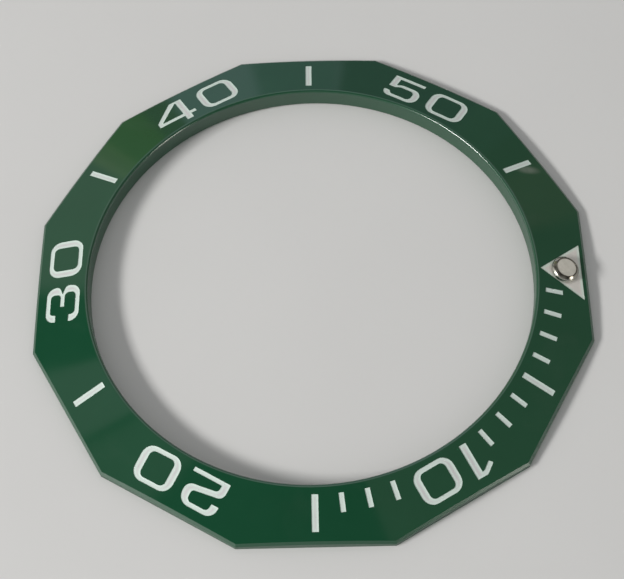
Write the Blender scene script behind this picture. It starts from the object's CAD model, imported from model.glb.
# %% [markdown]
# # A green ceramic bezel insert
#
# The part is the dial ring of a diver's watch bezel: a twelve-sided ring of polished zirconia with
# engraved minute marks, each filled with a pale compound, and a steel pip that holds a luminous
# disc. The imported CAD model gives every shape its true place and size. This script dresses it: it
# adds the surfaces, the finer forms that a machinist leaves behind, the light and the camera.
#
# Everything is in metres, with +Z out through the face and +Y towards the triangle. The part's own
# sizes are written in millimetres and multiplied by MM where Blender needs them.

import math

import bmesh
import bpy
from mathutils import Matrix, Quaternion, Vector


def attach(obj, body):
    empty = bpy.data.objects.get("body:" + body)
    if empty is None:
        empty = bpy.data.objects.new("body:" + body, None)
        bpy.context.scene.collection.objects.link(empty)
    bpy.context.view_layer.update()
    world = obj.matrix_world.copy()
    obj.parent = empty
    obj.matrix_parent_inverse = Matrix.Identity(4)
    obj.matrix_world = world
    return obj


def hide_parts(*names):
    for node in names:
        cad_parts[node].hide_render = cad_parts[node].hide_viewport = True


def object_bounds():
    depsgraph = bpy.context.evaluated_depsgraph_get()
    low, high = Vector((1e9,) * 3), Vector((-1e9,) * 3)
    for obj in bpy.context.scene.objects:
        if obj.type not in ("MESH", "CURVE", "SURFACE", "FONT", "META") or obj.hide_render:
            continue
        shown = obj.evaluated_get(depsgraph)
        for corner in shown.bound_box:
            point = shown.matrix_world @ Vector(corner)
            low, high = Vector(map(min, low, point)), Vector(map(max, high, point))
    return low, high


MM = 0.001
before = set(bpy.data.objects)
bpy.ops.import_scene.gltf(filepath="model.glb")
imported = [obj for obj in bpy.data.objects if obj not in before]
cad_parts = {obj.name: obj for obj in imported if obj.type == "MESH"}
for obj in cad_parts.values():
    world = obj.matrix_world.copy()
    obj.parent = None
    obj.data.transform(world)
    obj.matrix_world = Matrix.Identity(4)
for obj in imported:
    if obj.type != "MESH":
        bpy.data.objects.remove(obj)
cad_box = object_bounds()
print("CAD box, mm:", [[round(v / MM, 3) for v in corner] for corner in cad_box])

scene = bpy.context.scene
scene.view_settings.view_transform = "Standard"


# %% [markdown]
# ## The sizes that the finer forms follow
#
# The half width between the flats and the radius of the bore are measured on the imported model. The
# other three are the construction's own: the heights that the face would reach at the flats and at
# the bore if both edges were left sharp, and the radius of the rounded inner edge. The face is a
# cone that falls from the bore to the flats.

# %% Sizes
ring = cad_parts["insert_ring"]
FLAT_R = round(cad_box[1][0] / MM, 3)
BORE_R = round(min(v.co.xy.length for v in ring.data.vertices) / MM, 3)
OUTER_H = 0.66
INNER_H = 1.67
EDGE_ROUND = 0.20
FACE_SLOPE = (INNER_H - OUTER_H) / (FLAT_R - BORE_R)
FACE_ANGLE = math.atan(FACE_SLOPE)
print("half width and bore radius, mm:", FLAT_R, BORE_R)
print("the face falls", round(math.degrees(FACE_ANGLE), 2), "degrees")


# %% [markdown]
# ## The camera
#
# The photograph looks down on the ring from the side of minute 15, at about 61 degrees, from close
# by. The near side is therefore wider than the far side. The place, the aim, the roll and the lens
# come from a fit to the straight marks and the twelve edges in the photograph, so that the render
# can be laid over it.

# %% Camera
CAMERA_PLACE = Vector((48.08, 1.67, 87.02)) * MM
CAMERA_AIM = Vector((0.4356, 0.0020, 0.0)) * MM
CAMERA_ROLL = math.radians(-3.1554)
CAMERA_LENS = 81.588

camera_data = bpy.data.cameras.new("camera")
camera_data.lens = CAMERA_LENS
camera_data.sensor_width = 36.0
camera_data.clip_start = 0.005
camera_data.clip_end = 10.0
camera = bpy.data.objects.new("camera", camera_data)
scene.collection.objects.link(camera)
look = (CAMERA_AIM - CAMERA_PLACE).to_track_quat("-Z", "Y")
camera.rotation_mode = "QUATERNION"
camera.rotation_quaternion = look @ Quaternion((0, 0, 1), CAMERA_ROLL)
camera.location = CAMERA_PLACE
scene.camera = camera
print("camera distance, mm:", round((CAMERA_AIM - CAMERA_PLACE).length / MM, 1))


# %% [markdown]
# ## The light
#
# The key light stands low on the side of the bar at 25. It gives the short shadows on the floor,
# the glint on the rounded inner edge opposite, and the first glint on the pip. Polished zirconia
# mirrors about a tenth of what stands opposite it, so what the ring sees matters as much as what
# lights it.
#
# A long, narrow area light makes a shadow that is sharp across its narrow side and a glint that
# runs along the edge.

# %% Key light
def on_sky(heading, height):
    """The unit vector towards a point of the sky, from its heading and its height in degrees."""
    turn = math.radians(heading)
    rise = math.radians(height)
    return Vector((math.cos(turn) * math.cos(rise), math.sin(turn) * math.cos(rise), math.sin(rise)))


KEY_DISTANCE = 0.5
KEY_SIDE = on_sky(-67, 33)
key_data = bpy.data.lights.new("key", "AREA")
key_data.shape = "RECTANGLE"
key_data.size = 0.20
key_data.size_y = 0.07
key_data.energy = 2.16
key_data.color = (1.0, 0.99, 0.975)
key = bpy.data.objects.new("key", key_data)
scene.collection.objects.link(key)
key.location = KEY_DISTANCE * KEY_SIDE
key.rotation_euler = (-key.location).to_track_quat("-Z", "Y").to_euler()
print("key light, m:", [round(v, 3) for v in key.location])


# %% [markdown]
# ## Helpers for node trees
#
# The world and every finish are trees of nodes. These helpers only save typing. They take plain
# values or the sockets of other nodes, and the last three give back a socket, so that one can be
# written inside another like a formula.

# %% Node helpers
def plug(tree, socket, value):
    """Feeds an input: a link where the value is another node's socket, else the value itself."""
    if isinstance(value, bpy.types.NodeSocket):
        tree.links.new(value, socket)
    else:
        socket.default_value = value


def node(tree, kind, inputs=None, **settings):
    """Adds a node to a tree, with settings for its options and values or sockets for its inputs."""
    made = tree.nodes.new(kind)
    for name, value in settings.items():
        setattr(made, name, value)
    for name, value in (inputs or {}).items():
        plug(tree, made.inputs[name], value)
    return made


def calc(tree, kind, a, b=0.0, c=0.0):
    """A Math node. An operation uses as many of the three numbers as it needs."""
    return node(tree, "ShaderNodeMath", {0: a, 1: b, 2: c}, operation=kind).outputs[0]


def vector(tree, kind, *values):
    """A Vector Math node. A length, a distance and a dot product come out as a number."""
    made = node(tree, "ShaderNodeVectorMath", dict(enumerate(values)), operation=kind)
    return made.outputs["Value" if kind in ("LENGTH", "DISTANCE", "DOT_PRODUCT") else "Vector"]


def ramp(tree, value, low, high, start=0.0, end=1.0):
    """Runs smoothly from start to end while the value goes from low to high."""
    made = node(tree, "ShaderNodeMapRange", {
        "Value": value, "From Min": low, "From Max": high, "To Min": start, "To Max": end},
        interpolation_type="SMOOTHSTEP")
    return made.outputs["Result"]


# %% [markdown]
# ## The world: a soft sky for diffuse light
#
# The world answers three kinds of rays in three ways. Diffuse light comes from a soft sky, which is
# a little paler on the side away from the key light. It fills the shadows and makes none.

# %% Soft sky
SKY_LEVEL = 0.405
SKY_PALER = 0.35
SKY_PALER_SIDE = on_sky(100, 0)
SKY_TINT = (0.99, 1.0, 1.0, 1.0)

world = bpy.data.worlds.new("studio")
world.use_nodes = True
scene.world = world
world_tree = world.node_tree
world_tree.nodes.clear()

direction = node(world_tree, "ShaderNodeTexCoord").outputs["Generated"]
sky_side = vector(world_tree, "DOT_PRODUCT", direction, SKY_PALER_SIDE)
sky_level = calc(world_tree, "MULTIPLY_ADD", sky_side, SKY_LEVEL * SKY_PALER, SKY_LEVEL)
sky = node(world_tree, "ShaderNodeBackground", {"Color": SKY_TINT, "Strength": sky_level})
print("the sky's level:", round(SKY_LEVEL * (1 - SKY_PALER), 3), round(SKY_LEVEL * (1 + SKY_PALER), 3))


# %% [markdown]
# ### The studio that the ring mirrors
#
# Mirrored rays see a studio with dim walls and pale panels. Each panel is a range of headings, which
# the sloping face shows as a patch with straight sides that point at the bore. That is how a ring
# with one smooth cone can look as if each of its flats had a green of its own. Three broad surfaces
# join them: a wall behind the camera, a wall beside the key light, which catches most of its spill,
# and the ceiling beyond the ring, which the rounded inner edge shows as a thin pale line.

# %% Panels and walls
# Heading, half of the width and softness of the edge in degrees, then brightness and tint
PANELS = [
    (-89.0, 9.5, 2.5, 0.17, (0.9, 1.0, 0.9)),
    (-106.8, 6.8, 0.7, 0.26, (0.95, 1.0, 0.97)),
    (-137.7, 10.7, 2.0, 0.34, (1.0, 0.99, 0.94)),
    (-149.6, 1.6, 0.8, 0.40, (0.88, 1.0, 0.5)),
    (-154.15, 3.15, 0.8, 0.30, (0.75, 1.0, 0.3)),
    (-159.15, 1.85, 0.8, 0.15, (1.2, 0.9, 0.7)),
    (-166.6, 5.6, 0.8, 0.50, (0.84, 0.94, 1.1)),
    (-177.75, 5.55, 0.8, 0.28, (0.85, 0.97, 1.1)),
    (168.0, 9.0, 1.2, 0.13, (1.05, 0.85, 1.15)),
    (156.0, 3.0, 1.0, 0.16, (0.9, 1.05, 0.95)),
    (143.0, 5.0, 1.5, 0.07, (1.0, 0.8, 0.4)),
    (96.25, 56.75, 1.0, 0.13, (1.0, 0.96, 0.85)),
]
# The same, and the step that ends a surface: two heights on a sky of radius 1, and its share at each
WALLS = [
    (-30.0, 50.0, 20.0, 0.34, (1.0, 1.0, 0.97), (0.60, 0.80, 1.0, 0.0)),
    (-80.0, 35.0, 15.0, 1.10, (1.0, 0.99, 0.96), (0.42, 0.60, 1.0, 0.0)),
    (180.0, 35.0, 7.0, 0.45, (1.0, 1.0, 1.05), (0.60, 0.72, 0.0, 1.0)),
]

ray = node(world_tree, "ShaderNodeSeparateXYZ", {"Vector": direction}).outputs
ray_heading = calc(world_tree, "ARCTAN2", ray["Y"], ray["X"])


def scaled(tint, amount):
    """A colour of the world times a number."""
    made = node(world_tree, "ShaderNodeVectorMath", {0: tint, "Scale": amount}, operation="SCALE")
    return made.outputs[0]


def pale_patch(centre, half, edge, level, tint, height_step=None):
    """The light of one panel or wall, which fades where a ray's heading is too far from its centre."""
    away = calc(world_tree, "SUBTRACT", ray_heading, math.radians(centre))
    away = calc(world_tree, "ABSOLUTE", calc(world_tree, "WRAP", away, math.pi, -math.pi))
    mask = ramp(world_tree, away, math.radians(half - edge), math.radians(half + edge), level, 0.0)
    if height_step:
        mask = calc(world_tree, "MULTIPLY", mask, ramp(world_tree, ray["Z"], *height_step))
    return scaled(tint, mask)


studio = pale_patch(*PANELS[0])
for row in PANELS[1:] + WALLS:
    studio = vector(world_tree, "ADD", studio, pale_patch(*row))
print("panels and walls in the studio:", len(PANELS), len(WALLS))


# %% [markdown]
# ### Backdrop and second lamp
#
# Round the horizon the studio gives way to a white backdrop. A small bright lamp low on the right
# is there for mirrored rays only, so it makes glints but lights nothing.

# %% Backdrop and second lamp
BACKDROP_FULL = 0.05
BACKDROP_GONE = 0.20
LAMP_SIDE = on_sky(59, 13)
LAMP_LEVEL = 13.0
LAMP_TINT = (1.0, 0.97, 0.9)
LAMP_CORE = math.cos(math.radians(5))
LAMP_RIM = math.cos(math.radians(9))
WHITE = (1.0, 1.0, 1.0)

backdrop = ramp(world_tree, ray["Z"], BACKDROP_FULL, BACKDROP_GONE, 1.0, 0.0)
studio = scaled(studio, calc(world_tree, "SUBTRACT", 1.0, backdrop))
near_lamp = vector(world_tree, "DOT_PRODUCT", direction, LAMP_SIDE)
lamp = ramp(world_tree, near_lamp, LAMP_RIM, LAMP_CORE, 0.0, LAMP_LEVEL)
studio = vector(world_tree, "ADD", studio, scaled(LAMP_TINT, lamp))
studio = vector(world_tree, "ADD", studio, scaled(WHITE, backdrop))


# %% [markdown]
# ### Which ray sees what
#
# The Light Path node tells the rays apart: the camera sees plain white, mirrored and refracted rays
# see the studio, and all the others see the sky.

# %% Join the world
path = node(world_tree, "ShaderNodeLightPath").outputs
mirrored = calc(world_tree, "MAXIMUM", path["Is Glossy Ray"], path["Is Transmission Ray"])
seen = node(world_tree, "ShaderNodeBackground", {"Color": studio, "Strength": 1.0})
white = node(world_tree, "ShaderNodeBackground", {"Color": (*WHITE, 1.0), "Strength": 1.0})
light = node(world_tree, "ShaderNodeMixShader", {
    0: mirrored, 1: sky.outputs[0], 2: seen.outputs[0]})
light = node(world_tree, "ShaderNodeMixShader", {
    0: path["Is Camera Ray"], 1: light.outputs[0], 2: white.outputs[0]})
node(world_tree, "ShaderNodeOutputWorld", {"Surface": light.outputs[0]})
print("nodes in the world:", len(world_tree.nodes))


# %% [markdown]
# ## The floor
#
# A plain pale surface, large enough to reach the horizon of the low views. It lies a hair under the
# ring's flat underside, so that the two don't fight for the same height.

# %% Floor
FLOOR_HALF = 3.0
FLOOR_Z = -0.00001
floor_mesh = bpy.data.meshes.new("floor")
floor_mesh.from_pydata(
    [(-FLOOR_HALF, -FLOOR_HALF, FLOOR_Z), (FLOOR_HALF, -FLOOR_HALF, FLOOR_Z),
     (FLOOR_HALF, FLOOR_HALF, FLOOR_Z), (-FLOOR_HALF, FLOOR_HALF, FLOOR_Z)],
    [], [(0, 1, 2, 3)])
floor = bpy.data.objects.new("floor", floor_mesh)
scene.collection.objects.link(floor)
print("width of the floor, m:", 2 * FLOOR_HALF)


# %% [markdown]
# ## Helpers for materials
#
# A finish is a Principled shader fed by masks. What more than one finish needs comes from a group,
# which is built once and placed in each material with that material's own values.

# %% Material helpers
# The Mix node's inputs for a and b and its output, which differ with what it mixes
MIX_SOCKETS = {"FLOAT": (2, 3, 0), "VECTOR": (4, 5, 1), "RGBA": (6, 7, 2)}


def blend(tree, amount, a, b, kind="RGBA"):
    """A mix of two colours, vectors or numbers: a where the amount is 0, b where it is 1."""
    first, second, result = MIX_SOCKETS[kind]
    made = node(tree, "ShaderNodeMix", data_type=kind)
    for place, value in ((0, amount), (first, a), (second, b)):
        plug(tree, made.inputs[place], (*value, 1.0) if isinstance(value, tuple) else value)
    return made.outputs[result]


def object_place(tree):
    """Where the shaded point lies on its object, in metres."""
    return node(tree, "ShaderNodeTexCoord").outputs["Object"]


def new_material(name, **sockets):
    """A material with a Principled shader, whose constant values are set on its own sockets."""
    material = bpy.data.materials.new(name)
    material.use_nodes = True
    tree = material.node_tree
    tree.nodes.clear()
    shader = node(tree, "ShaderNodeBsdfPrincipled")
    for label, value in sockets.items():
        shader.inputs[label].default_value = value
    node(tree, "ShaderNodeOutputMaterial", {"Surface": shader.outputs[0]})
    return material, tree, shader


def emboss(tree, shader, height, strength, depth, normal=None):
    """Tilts a shader's normal by a height of 0 to 1 that stands for a depth in metres."""
    made = node(tree, "ShaderNodeBump", {"Height": height, "Strength": strength, "Distance": depth})
    if normal is not None:
        tree.links.new(normal, made.inputs["Normal"])
    tree.links.new(made.outputs["Normal"], shader.inputs["Normal"])


def new_group(name, inputs, outputs):
    """A shader node group: inputs are name -> default value, outputs are names."""
    tree = bpy.data.node_groups.new(name, "ShaderNodeTree")
    for label, value in inputs.items():
        made = tree.interface.new_socket(label, in_out="INPUT", socket_type="NodeSocketFloat")
        made.default_value = value
    for label in outputs:
        kind = "NodeSocketVector" if label == "Normal" else "NodeSocketFloat"
        tree.interface.new_socket(label, in_out="OUTPUT", socket_type=kind)
    return tree, node(tree, "NodeGroupInput").outputs, node(tree, "NodeGroupOutput").inputs


def use_group(tree, group, **values):
    """Places a group in a material's tree, with its own values, and gives back its outputs."""
    placed = node(tree, "ShaderNodeGroup")
    placed.node_tree = group
    for label, value in values.items():
        placed.inputs[label.replace("_", " ")].default_value = value
    return placed.outputs


# %% [markdown]
# ### Grain and mottle
#
# No real surface is even. One group gives every finish two kinds of unevenness in the object's own
# metres: a fine grain, mostly for the height, and a broad, faint mottle for colour and gloss.

# %% Group: grain
grain_group, g_in, g_out = new_group(
    "grain", {"Grain scale": 9000.0, "Mottle scale": 420.0}, ("Grain", "Mottle"))
place = object_place(grain_group)
fine = node(grain_group, "ShaderNodeTexNoise", {
    "Vector": place, "Scale": g_in["Grain scale"], "Detail": 3.0, "Roughness": 0.6})
broad = node(grain_group, "ShaderNodeTexNoise", {
    "Vector": place, "Scale": g_in["Mottle scale"], "Detail": 4.0, "Roughness": 0.55})
grain_group.links.new(fine.outputs["Fac"], g_out["Grain"])
grain_group.links.new(broad.outputs["Fac"], g_out["Mottle"])

# A noise seldom leaves the wide span. A ramp over the narrow one makes a stronger mottle.
WIDE_SPAN = (0.3, 0.7)
NARROW_SPAN = (0.35, 0.65)


# %% [markdown]
# ### Specks
#
# Dust on the face and pores in the fills are made alike. A Voronoi texture cuts space into cells
# with random colours, the colour picks a few of the cells, and each of those holds one round speck.

# %% Group: specks
specks_group, g_in, g_out = new_group(
    "specks", {"Cell scale": 900.0, "Rarity": 0.93, "Speck size": 0.045}, ("Speck",))
cells = node(specks_group, "ShaderNodeTexVoronoi", {
    "Vector": object_place(specks_group), "Scale": g_in["Cell scale"]}).outputs
cell_pick = node(specks_group, "ShaderNodeSeparateColor", {"Color": cells["Color"]}).outputs[0]
speck_r = calc(specks_group, "MULTIPLY", ramp(specks_group, cell_pick, g_in["Rarity"], 1.0),
               g_in["Speck size"])
specks_group.links.new(calc(specks_group, "LESS_THAN", cells["Distance"], speck_r), g_out["Speck"])


# %% [markdown]
# ### True normals of the turned surfaces
#
# The ring's face, the rounding of its inner edge and its bore wall are surfaces of revolution. A
# mirror finish shows each facet of a mesh, so the shader works out the exact normal instead. In the
# plane through the axis all three surfaces follow one rule: the normal points away from the centre
# of the rounding, between level (the wall) and the slope of the face. Where the mesh faces another
# way, as on the flats, the bevels and the sides of the recesses, its own normal stays.
#
# The group also tells where the lapped face and the eased inner edge are.

# %% Group: turned normal
tangent_reach = EDGE_ROUND / math.tan((math.pi / 2 - FACE_ANGLE) / 2)
ROUND_R = (BORE_R + EDGE_ROUND) * MM
ROUND_Z = (INNER_H - tangent_reach) * MM
print("centre of the rounding, mm:", round(ROUND_R / MM, 3), round(ROUND_Z / MM, 3))

# How far a facet may lean from the exact surface that it stands for
FACET_LEAN = math.radians(12)
# The upward part of the normal where the face's finish sets in, and where the eased edge's does
FACE_UP = (0.90, 0.955)
EDGE_UP = (0.10, 0.45)
EDGE_END = (BORE_R + 2 * EDGE_ROUND) * MM

turned_group, g_in, g_out = new_group(
    "turned normal", {}, ("Normal", "Face", "Edge", "Around", "Radius"))
tree = turned_group
x, y, z = node(tree, "ShaderNodeSeparateXYZ", {"Vector": object_place(tree)}).outputs
radius = calc(tree, "SQRT", calc(tree, "ADD", calc(tree, "MULTIPLY", x, x), calc(tree, "MULTIPLY", y, y)))
out_x = calc(tree, "DIVIDE", x, radius)
out_y = calc(tree, "DIVIDE", y, radius)
lean = calc(tree, "ARCTAN2", calc(tree, "SUBTRACT", z, ROUND_Z), calc(tree, "SUBTRACT", radius, ROUND_R))
# Angles under the wall's level direction come out negative, so they are brought round to over 180
under = calc(tree, "LESS_THAN", lean, -math.pi / 2)
lean = calc(tree, "ADD", lean, calc(tree, "MULTIPLY", under, 2 * math.pi))
lean = calc(tree, "MINIMUM", calc(tree, "MAXIMUM", lean, math.pi / 2 - FACE_ANGLE), math.pi)
out_part = calc(tree, "COSINE", lean)
exact = node(tree, "ShaderNodeCombineXYZ", {
    "X": calc(tree, "MULTIPLY", out_x, out_part), "Y": calc(tree, "MULTIPLY", out_y, out_part),
    "Z": calc(tree, "SINE", lean)}).outputs[0]

geometry = node(tree, "ShaderNodeNewGeometry").outputs
match = vector(tree, "DOT_PRODUCT", exact, geometry["True Normal"])
use_exact = calc(tree, "GREATER_THAN", match, math.cos(FACET_LEAN))
normal = blend(tree, use_exact, geometry["Normal"], exact, "VECTOR")
up_part = node(tree, "ShaderNodeSeparateXYZ", {"Vector": normal}).outputs["Z"]
near_bore = calc(tree, "LESS_THAN", radius, EDGE_END)
for label, value in (
        ("Normal", normal), ("Face", ramp(tree, up_part, *FACE_UP)),
        ("Edge", calc(tree, "MULTIPLY", near_bore, ramp(tree, up_part, *EDGE_UP))),
        ("Around", calc(tree, "ARCTAN2", y, x)), ("Radius", radius)):
    tree.links.new(value, g_out[label])


# %% [markdown]
# ## The ceramic
#
# Green zirconia is coloured through and through. Its colour is dark and slightly uneven, and its
# gloss comes from a high refractive index, not from a coat of lacquer. The face is lapped to a
# mirror. The bore, the flats and their bevels are only ground, so they are duller, with fine lines
# that run round the part: a noise that changes fast across the lines and slowly along them.

# %% Green ceramic
LINES_ALONG = 6.0
LINES_ACROSS = 30000.0

ceramic, tree, shader = new_material("green_ceramic", IOR=1.75)
grain = use_group(tree, grain_group, Grain_scale=16000.0, Mottle_scale=300.0)
turned = use_group(tree, turned_group)
place = object_place(tree)
height_z = node(tree, "ShaderNodeSeparateXYZ", {"Vector": place}).outputs["Z"]
lines_at = node(tree, "ShaderNodeCombineXYZ", {
    "X": calc(tree, "MULTIPLY", turned["Around"], LINES_ALONG),
    "Y": calc(tree, "MULTIPLY", turned["Radius"], LINES_ACROSS),
    "Z": calc(tree, "MULTIPLY", height_z, LINES_ACROSS)}).outputs[0]
lines = node(tree, "ShaderNodeTexNoise", {"Vector": lines_at, "Scale": 1.0, "Detail": 2.0}).outputs["Fac"]


# %% [markdown]
# Handling leaves its marks on a polished face. A few smears are a broad noise, thinned to patches.
# One clear thumb mark lies near minute 55: a ball round one point, squeezed along X so that it comes
# out narrow, and broken up by the same noise. Single specks of dust lie anywhere.

# %% Smears, thumb mark and dust
SMEAR_SPAN = (0.56, 0.74)
THUMB_SPAN = (0.30, 0.55)
THUMB_AT = Vector((-8.45, 15.72, 1.00)) * MM
THUMB_SQUEEZE = Vector((2.4, 1.0, 1.0))
THUMB_CORE = 0.2 * MM
THUMB_REACH = 1.2 * MM

smear_noise = node(tree, "ShaderNodeTexNoise", {
    "Vector": place, "Scale": 190.0, "Detail": 5.0, "Roughness": 0.62, "Distortion": 0.6}).outputs["Fac"]
smears = ramp(tree, smear_noise, *SMEAR_SPAN)
from_thumb = vector(tree, "MULTIPLY_ADD", place, THUMB_SQUEEZE, -THUMB_AT * THUMB_SQUEEZE)
thumb = ramp(tree, vector(tree, "LENGTH", from_thumb), THUMB_CORE, THUMB_REACH, 1.0, 0.0)
thumb = calc(tree, "MULTIPLY", thumb, ramp(tree, smear_noise, *THUMB_SPAN))
dust = use_group(tree, specks_group, Cell_scale=900.0, Rarity=0.93, Speck_size=0.045)["Speck"]


# %% [markdown]
# The marks of handling are laid over the green one by one, each as a thin tint.

# %% Colour of the ceramic
GREEN_DEEP = (0.0088, 0.060, 0.0275)
GREEN_PALE = (0.0112, 0.071, 0.0335)
SMEAR_TINT = (0.05, 0.095, 0.065)
THUMB_TINT = (0.16, 0.20, 0.16)
DUST_TINT = (0.30, 0.30, 0.27)

body = blend(tree, grain["Mottle"], GREEN_DEEP, GREEN_PALE)
for mask, share, tint in ((smears, 0.10, SMEAR_TINT), (thumb, 0.75, THUMB_TINT), (dust, 0.5, DUST_TINT)):
    body = blend(tree, calc(tree, "MULTIPLY", mask, share), body, tint)
tree.links.new(body, shader.inputs["Base Color"])


# %% [markdown]
# Three degrees of gloss meet on the ring: the lapped face, the ground walls, and the inner edge,
# which is eased and lies between the two. Each pair below gives the roughness of its glossiest and
# of its dullest spots. The ground lines have depth on the walls only. The face and the eased edge
# keep a trace of them.

# %% Gloss and relief of the ceramic
LAPPED = (0.055, 0.085)
GROUND = (0.32, 0.42)
EASED = (0.17, 0.21)
LINE_DEPTH = 0.0015 * MM
LINE_TRACE = 0.04

lapped = ramp(tree, grain["Mottle"], *WIDE_SPAN, *LAPPED)
for mask, duller in ((smears, 0.05), (thumb, 0.12)):
    lapped = calc(tree, "ADD", lapped, calc(tree, "MULTIPLY", mask, duller))
ground = ramp(tree, lines, *WIDE_SPAN, *GROUND)
eased = ramp(tree, lines, *WIDE_SPAN, *EASED)
walls = blend(tree, turned["Edge"], ground, eased, "FLOAT")
tree.links.new(blend(tree, turned["Face"], walls, lapped, "FLOAT"), shader.inputs["Roughness"])

smoothed = calc(tree, "MAXIMUM", turned["Edge"], turned["Face"])
relief = calc(tree, "MULTIPLY", lines, calc(tree, "SUBTRACT", 1 + LINE_TRACE, smoothed))
emboss(tree, shader, relief, strength=0.5, depth=LINE_DEPTH, normal=turned["Normal"])
print("nodes in green_ceramic:", len(tree.nodes))


# %% [markdown]
# ## The fills
#
# The compound is pressed into the recesses and lapped back, so it stays a little under the face. It
# shrinks as it sets: it clings to the sides of the recess and sinks in the middle. The rim of each
# mark is therefore a touch cleaner and greener, and the middle a touch warmer. To know where the
# rim is, each fill is copied with a denser mesh, and each point stores its distance to the outline.

# %% Fill copies
FILL_STEP = 0.09 * MM
FILL_PASSES = 7
TOP_UP = 0.9
WELD = 1e-7
SHORTEST_SQUARED = 1e-18
RIM_LAYER = "rim distance"


def is_top(face):
    """Whether a face belongs to the top of a fill, which lies almost level."""
    return face.normal.z > TOP_UP


def off_line(point, a, b):
    """How far a point is from the straight line between two others."""
    along = b - a
    share = (point - a).dot(along) / max(along.length_squared, SHORTEST_SQUARED)
    return (point - a - along * max(0.0, min(1.0, share))).length


def outline_distance(mesh):
    """Refines the top of a fill's mesh and stores each point's distance to the top's outline, in mm."""
    bm = bmesh.new()
    bm.from_mesh(mesh)
    bmesh.ops.remove_doubles(bm, verts=bm.verts, dist=WELD)
    rim = [(e.verts[0].co.copy(), e.verts[1].co.copy()) for e in bm.edges
           if sum(is_top(f) for f in e.link_faces) == 1]
    for _ in range(FILL_PASSES):
        long_edges = {e for f in bm.faces if is_top(f) for e in f.edges if e.calc_length() > FILL_STEP}
        if not long_edges:
            break
        bmesh.ops.subdivide_edges(bm, edges=sorted(long_edges, key=lambda e: e.index), cuts=1)
        bmesh.ops.triangulate(bm, faces=[f for f in bm.faces if len(f.verts) > 3])
        bm.edges.index_update()
    layer = bm.verts.layers.float.new(RIM_LAYER)
    for vert in bm.verts:
        vert[layer] = min(off_line(vert.co, a, b) for a, b in rim) / MM
    bm.to_mesh(mesh)
    bm.free()


def copy_fill(name):
    """A finer copy of a CAD fill, which takes the node's place."""
    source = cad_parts[name]
    mesh = source.data.copy()
    mesh.name = name + "_fine"
    outline_distance(mesh)
    piece = bpy.data.objects.new(name + "_fine", mesh)
    scene.collection.objects.link(piece)
    piece.matrix_world = source.matrix_world
    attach(piece, "root")
    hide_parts(name)
    return piece


# %% [markdown]
# ### Where the pip stands
#
# Grime gathers on the triangle's fill round the foot of the pip, where no cloth reaches, so the
# finish of the fills needs the pip's place. It stands square to the face, on the line of the 60.

# %% Place of the pip
PIP_R = 17.5685
CUP_R = 0.975
PIP_Z = INNER_H - FACE_SLOPE * (PIP_R - BORE_R)
pip_base = Vector((0, PIP_R, PIP_Z))
pip_axis = Vector((0, math.sin(FACE_ANGLE), math.cos(FACE_ANGLE)))
print("foot of the pip, mm:", [round(v, 3) for v in pip_base])


# %% [markdown]
# ### The finish of the fills
#
# Two finishes use the distance to the rim: the mint white of the numerals, bars and ticks, and the
# warmer white of the triangle. Both have a fine, matte grain with a few dark pores, and a meniscus
# where the compound climbs the side of its recess.

# %% Fill finishes
RIM_FROM = 0.08
PORE_SHARE = 0.35
GRIME_TINT = (0.20, 0.195, 0.165)
GRIME_FROM = (CUP_R + 0.02) * MM
GRIME_TO = (CUP_R + 0.20) * MM
GRIME_SHARE = 0.22
MENISCUS_WIDTH = 0.10
MENISCUS_SHARE = 0.9
GRAIN_SHARE = 0.12
FILL_RELIEF = 0.02 * MM


def darker(colour, share):
    """A colour of which only a share is left."""
    return tuple(v * share for v in colour)


def fill_material(name, middle, rim_tint, rim_reach):
    """A matte compound: middle colour, rim colour, and how far the rim's colour reaches, in mm."""
    material, tree, shader = new_material(name, IOR=1.5, Roughness=0.5)
    grain = use_group(tree, grain_group, Grain_scale=30000.0, Mottle_scale=1400.0)
    pore = use_group(tree, specks_group, Cell_scale=9000.0, Rarity=0.8, Speck_size=0.3)["Speck"]
    distance = node(tree, "ShaderNodeAttribute", attribute_name=RIM_LAYER).outputs["Fac"]
    tone = blend(tree, ramp(tree, grain["Mottle"], *NARROW_SPAN), darker(middle, 0.93), middle)
    tone = blend(tree, ramp(tree, distance, RIM_FROM, rim_reach), rim_tint, tone)
    tone = blend(tree, calc(tree, "MULTIPLY", pore, PORE_SHARE), tone, darker(middle, 0.55))
    from_pip = vector(tree, "DISTANCE", object_place(tree), pip_base * MM)
    tone = blend(tree, ramp(tree, from_pip, GRIME_FROM, GRIME_TO, GRIME_SHARE, 0.0), tone, GRIME_TINT)
    tree.links.new(tone, shader.inputs["Base Color"])
    meniscus = ramp(tree, distance, 0.0, MENISCUS_WIDTH, 1.0, 0.0)
    rough = calc(tree, "MULTIPLY", calc(tree, "SUBTRACT", grain["Grain"], pore), GRAIN_SHARE)
    height = calc(tree, "ADD", calc(tree, "MULTIPLY", meniscus, MENISCUS_SHARE), rough)
    emboss(tree, shader, height, strength=0.6, depth=FILL_RELIEF)
    print("nodes in", name + ":", len(tree.nodes))
    return material


fill_pale = fill_material(
    "pale_fill", middle=(0.61, 0.605, 0.60), rim_tint=(0.635, 0.74, 0.68), rim_reach=0.27)
fill_warm = fill_material(
    "warm_fill", middle=(0.69, 0.66, 0.61), rim_tint=(0.65, 0.73, 0.65), rim_reach=0.24)


# %% [markdown]
# ## The pip
#
# The cup is turned from steel bar: a stem that passes through the ring, and a head with a rounded,
# polished shoulder round the pocket for the luminous disc. The profile below is the construction's,
# with the roundings that a polishing wheel gives. It is turned round the pip's own axis, which
# stands square to the face. Only the foot of the stem is cut level with the underside.
#
# Heights run along the axis from the face, in millimetres, so the stem's are negative.

# %% A profile with rounded corners
PROFILE_STEP = 9.0


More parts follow.
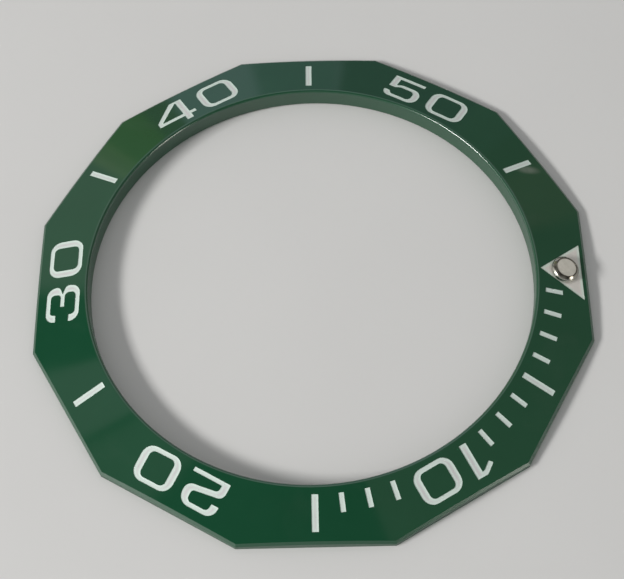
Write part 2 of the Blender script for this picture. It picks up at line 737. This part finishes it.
def rounded_profile(points):
    """Points of a profile whose corners are given as (radius, height, rounding)."""
    out = []
    for i, (px, py, r) in enumerate(points):
        here = Vector((px, py))
        if r == 0 or i in (0, len(points) - 1):
            out.append(here)
            continue
        back = (Vector(points[i - 1][:2]) - here).normalized()
        ahead = (Vector(points[i + 1][:2]) - here).normalized()
        half = back.angle(ahead) / 2
        centre = here + (back + ahead).normalized() * r / math.sin(half)
        start = here + back * r / math.tan(half) - centre
        end = here + ahead * r / math.tan(half) - centre
        turn = math.pi - 2 * half
        steps = max(2, math.ceil(math.degrees(turn) / PROFILE_STEP))
        for k in range(steps + 1):
            t = k / steps
            spoke = (start * math.sin(turn * (1 - t)) + end * math.sin(turn * t)) / math.sin(turn)
            out.append(centre + spoke)
    return out


# %% [markdown]
# A profile becomes a mesh by going round the pip's axis. Points below a given height belong to the
# stem's foot, which is level with the underside and not square to the axis, so they are lifted
# until they lie at one height over the floor.

# %% Turn a profile
AROUND = 144
SHARP_ANGLE = math.radians(40)
pip_side = Vector((1, 0, 0))
pip_out = Vector((0, math.cos(FACE_ANGLE), -math.sin(FACE_ANGLE)))


def turned_piece(name, profile, level_foot=None):
    """Turns a profile of (radius, height) in mm round the pip's axis. Both ends are closed.

    A level foot is (the height under which it starts, its place in Z, its height in the profile).
    """
    verts, faces = [], []
    for r, h in profile:
        for k in range(AROUND):
            a = 2 * math.pi * k / AROUND
            flat = pip_base + pip_side * (r * math.cos(a)) + pip_out * (r * math.sin(a))
            rise = h
            if level_foot is not None and h < level_foot[0]:
                rise = (level_foot[1] - flat.z) / pip_axis.z + (h - level_foot[2])
            verts.append((flat + pip_axis * rise) * MM)
    rows = len(profile)
    for i in range(rows - 1):
        for k in range(AROUND):
            j = (k + 1) % AROUND
            faces.append((i * AROUND + k, i * AROUND + j, (i + 1) * AROUND + j, (i + 1) * AROUND + k))
    faces.append(tuple(range(AROUND - 1, -1, -1)))
    faces.append(tuple((rows - 1) * AROUND + k for k in range(AROUND)))
    mesh = bpy.data.meshes.new(name)
    mesh.from_pydata(verts, [], faces)
    mesh.polygons.foreach_set("use_smooth", [True] * len(faces))
    mesh.set_sharp_from_angle(angle=SHARP_ANGLE)
    piece = bpy.data.objects.new(name, mesh)
    scene.collection.objects.link(piece)
    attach(piece, "root")
    print(name, "has", len(verts), "points")
    return piece


# %% [markdown]
# The cup's profile runs up the stem, out under the head, up its wall, over the shoulder and the
# narrow land at its top, and down into the pocket.

# %% Cup
CUP_H = 0.45
SHOULDER_R = 0.25
SHOULDER_H = 0.20
RIM_LAND = 0.05
LAND_ROUND = 0.05
POCKET_R = 0.71
POCKET_ROUND = 0.012
DISC_SINK = 0.02
DISC_T = 0.30
DISC_BED = 0.01
STEM_R = 0.55
STEM_END_Z = 0.05
STEM_EASE = 0.06
HEAD_LOW = -0.014
HEAD_EASE = 0.02
HEAD_ROUND = 0.01
# The foot's height in the profile, and the height under which a point counts as foot
FOOT = -1.3
FOOT_FROM = -1.0
# Profiles end this close to the axis, where a small flat face closes them
CENTRE_R = 0.05

pocket_floor = CUP_H - DISC_SINK - DISC_T - DISC_BED
cup_profile = [
    Vector((CENTRE_R, FOOT)), Vector((STEM_R - STEM_EASE, FOOT)), Vector((STEM_R, FOOT + STEM_EASE))]
cup_profile += rounded_profile([
    (STEM_R, HEAD_LOW, 0), (CUP_R - HEAD_EASE, HEAD_LOW, HEAD_ROUND),
    (CUP_R, HEAD_LOW + HEAD_EASE, HEAD_ROUND), (CUP_R, CUP_H - SHOULDER_H, SHOULDER_R),
    (POCKET_R + RIM_LAND, CUP_H, LAND_ROUND), (POCKET_R, CUP_H, POCKET_ROUND),
    (POCKET_R, pocket_floor, 0), (CENTRE_R, pocket_floor, 0)])
cup = turned_piece("pip_cup_turned", cup_profile, level_foot=(FOOT_FROM, STEM_END_Z, FOOT))
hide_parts("pip_cup")


# %% [markdown]
# The disc lies in the pocket, a little under the cup's rim. The resin pulled back as it set, so its
# edge is soft and its top very slightly domed.

# %% Luminous disc
DISC_R = 0.695
DISC_EASE = 0.008
DISC_ROUND = 0.02
# The dome as radius and depth under the top of the disc, from the outside in
DOME = ((0.45, 0.001), (0.04, 0.0005))

DISC_TOP = CUP_H - DISC_SINK
disc_profile = rounded_profile([
    (CENTRE_R, DISC_TOP - DISC_T, 0), (DISC_R, DISC_TOP - DISC_T, 0),
    (DISC_R, DISC_TOP - DISC_EASE, DISC_ROUND), *((r, DISC_TOP - low, 0) for r, low in DOME)])
disc = turned_piece("pip_lume_set", disc_profile)
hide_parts("pip_lume")


# %% [markdown]
# ### The steel
#
# The steel is polished, with a faint grain, and its three zones are told apart by their distance
# from the pip's axis. The top of the shoulder is browned by its polish, it gets brighter outwards,
# and the upright wall, which mirrors the pale fill round it, is the brightest.

# %% Steel finish
BROWN = ((0.24, 0.225, 0.19), (0.30, 0.28, 0.235))
BRIGHT = ((0.36, 0.35, 0.31), (0.44, 0.425, 0.38))
WALL = ((0.60, 0.59, 0.55), (0.66, 0.65, 0.61))
SHOULDER_SPAN = (0.78 * MM, 0.96 * MM)
WALL_SPAN = (0.950 * MM, 0.970 * MM)
STEEL_GLOSS = (0.19, 0.26)
STEEL_RELIEF = 0.002 * MM

steel, tree, shader = new_material("pip_steel", Metallic=1.0)
grain = use_group(tree, grain_group, Grain_scale=26000.0, Mottle_scale=1800.0)
from_base = vector(tree, "SUBTRACT", object_place(tree), pip_base * MM)
along = vector(tree, "DOT_PRODUCT", from_base, pip_axis)
reach = vector(tree, "LENGTH", from_base)
across_squared = calc(
    tree, "SUBTRACT", calc(tree, "MULTIPLY", reach, reach), calc(tree, "MULTIPLY", along, along))
across = calc(tree, "SQRT", across_squared)

brown, bright, wall = (blend(tree, grain["Mottle"], *pair) for pair in (BROWN, BRIGHT, WALL))
shoulder = blend(tree, ramp(tree, across, *SHOULDER_SPAN), brown, bright)
metal = blend(tree, ramp(tree, across, *WALL_SPAN), shoulder, wall)
tree.links.new(metal, shader.inputs["Base Color"])
tree.links.new(ramp(tree, grain["Mottle"], *WIDE_SPAN, *STEEL_GLOSS), shader.inputs["Roughness"])
emboss(tree, shader, grain["Grain"], strength=0.15, depth=STEEL_RELIEF)
print("nodes in pip_steel:", len(tree.nodes))


# %% [markdown]
# ### The luminous compound
#
# The luminous compound is a mineral powder set in clear resin: beige, matte, with single grains
# that are lighter or darker. One fine noise picks both kinds of grains, from its two ends.

# %% Luminous finish
POWDER = ((0.53, 0.505, 0.435), (0.60, 0.57, 0.50))
PALE_GRAIN = (0.62, 0.60, 0.52)
DARK_GRAIN = (0.34, 0.33, 0.27)
GRAIN_STRENGTH = 0.35
LUME_RELIEF = 0.006 * MM

lume, tree, shader = new_material("luminous_compound", IOR=1.5, Roughness=0.5)
grain = use_group(tree, grain_group, Grain_scale=22000.0, Mottle_scale=2200.0)
powder = blend(tree, ramp(tree, grain["Mottle"], *NARROW_SPAN), *POWDER)
for low, high, tint in ((0.62, 0.70, PALE_GRAIN), (0.38, 0.30, DARK_GRAIN)):
    grains = ramp(tree, grain["Grain"], low, high)
    powder = blend(tree, calc(tree, "MULTIPLY", grains, GRAIN_STRENGTH), powder, tint)
tree.links.new(powder, shader.inputs["Base Color"])
emboss(tree, shader, grain["Grain"], strength=0.4, depth=LUME_RELIEF)
print("nodes in luminous_compound:", len(tree.nodes))


# %% [markdown]
# ### The floor's paint
#
# Matte and pale, with a mottle so faint that it only keeps the surface from looking computed. Far
# from the ring the floor fades to plain white, so that it meets the white world without a line. Only
# the camera's, mirrored and refracted rays see that white, so it lights nothing.

# %% Floor finish
PAINT = ((0.635, 0.63, 0.62), (0.675, 0.67, 0.66))
SWEEP_FROM = 0.10
SWEEP_TO = 0.50

floor_paint, tree, shader = new_material("floor_paint", Roughness=0.9)
grain = use_group(tree, grain_group, Grain_scale=900.0, Mottle_scale=60.0)
tree.links.new(blend(tree, grain["Mottle"], *PAINT), shader.inputs["Base Color"])
far = ramp(tree, vector(tree, "LENGTH", object_place(tree)), SWEEP_FROM, SWEEP_TO)
path = node(tree, "ShaderNodeLightPath").outputs
mirrored = calc(tree, "MAXIMUM", path["Is Glossy Ray"], path["Is Transmission Ray"])
looked_at = calc(tree, "MAXIMUM", path["Is Camera Ray"], mirrored)
glow = node(tree, "ShaderNodeEmission", {"Color": (*WHITE, 1.0), "Strength": 1.0})
sweep = node(tree, "ShaderNodeMixShader", {
    0: calc(tree, "MULTIPLY", far, looked_at), 1: shader.outputs[0], 2: glow.outputs[0]})
surface = next(n for n in tree.nodes if n.type == "OUTPUT_MATERIAL").inputs["Surface"]
tree.links.new(sweep.outputs[0], surface)
floor.data.materials.append(floor_paint)


# %% [markdown]
# ## Dressing
#
# The ring keeps its CAD mesh. Its material slots, and the slots of the finer copies, get their
# finish here.

# %% Dress the pieces
for holder in ring.material_slots:
    holder.material = ceramic

for piece, finish, slot in ((cup, steel, "pip_steel"), (disc, lume, "pip_lume")):
    piece.data.materials.append(finish)

fills = [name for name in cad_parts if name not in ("insert_ring", "pip_cup", "pip_lume")]
for name in fills:
    is_triangle = name == "triangle_inlay"
    piece = copy_fill(name)
    piece.data.materials.clear()
    piece.data.materials.append(fill_warm if is_triangle else fill_pale)
print("fills dressed:", len(fills))
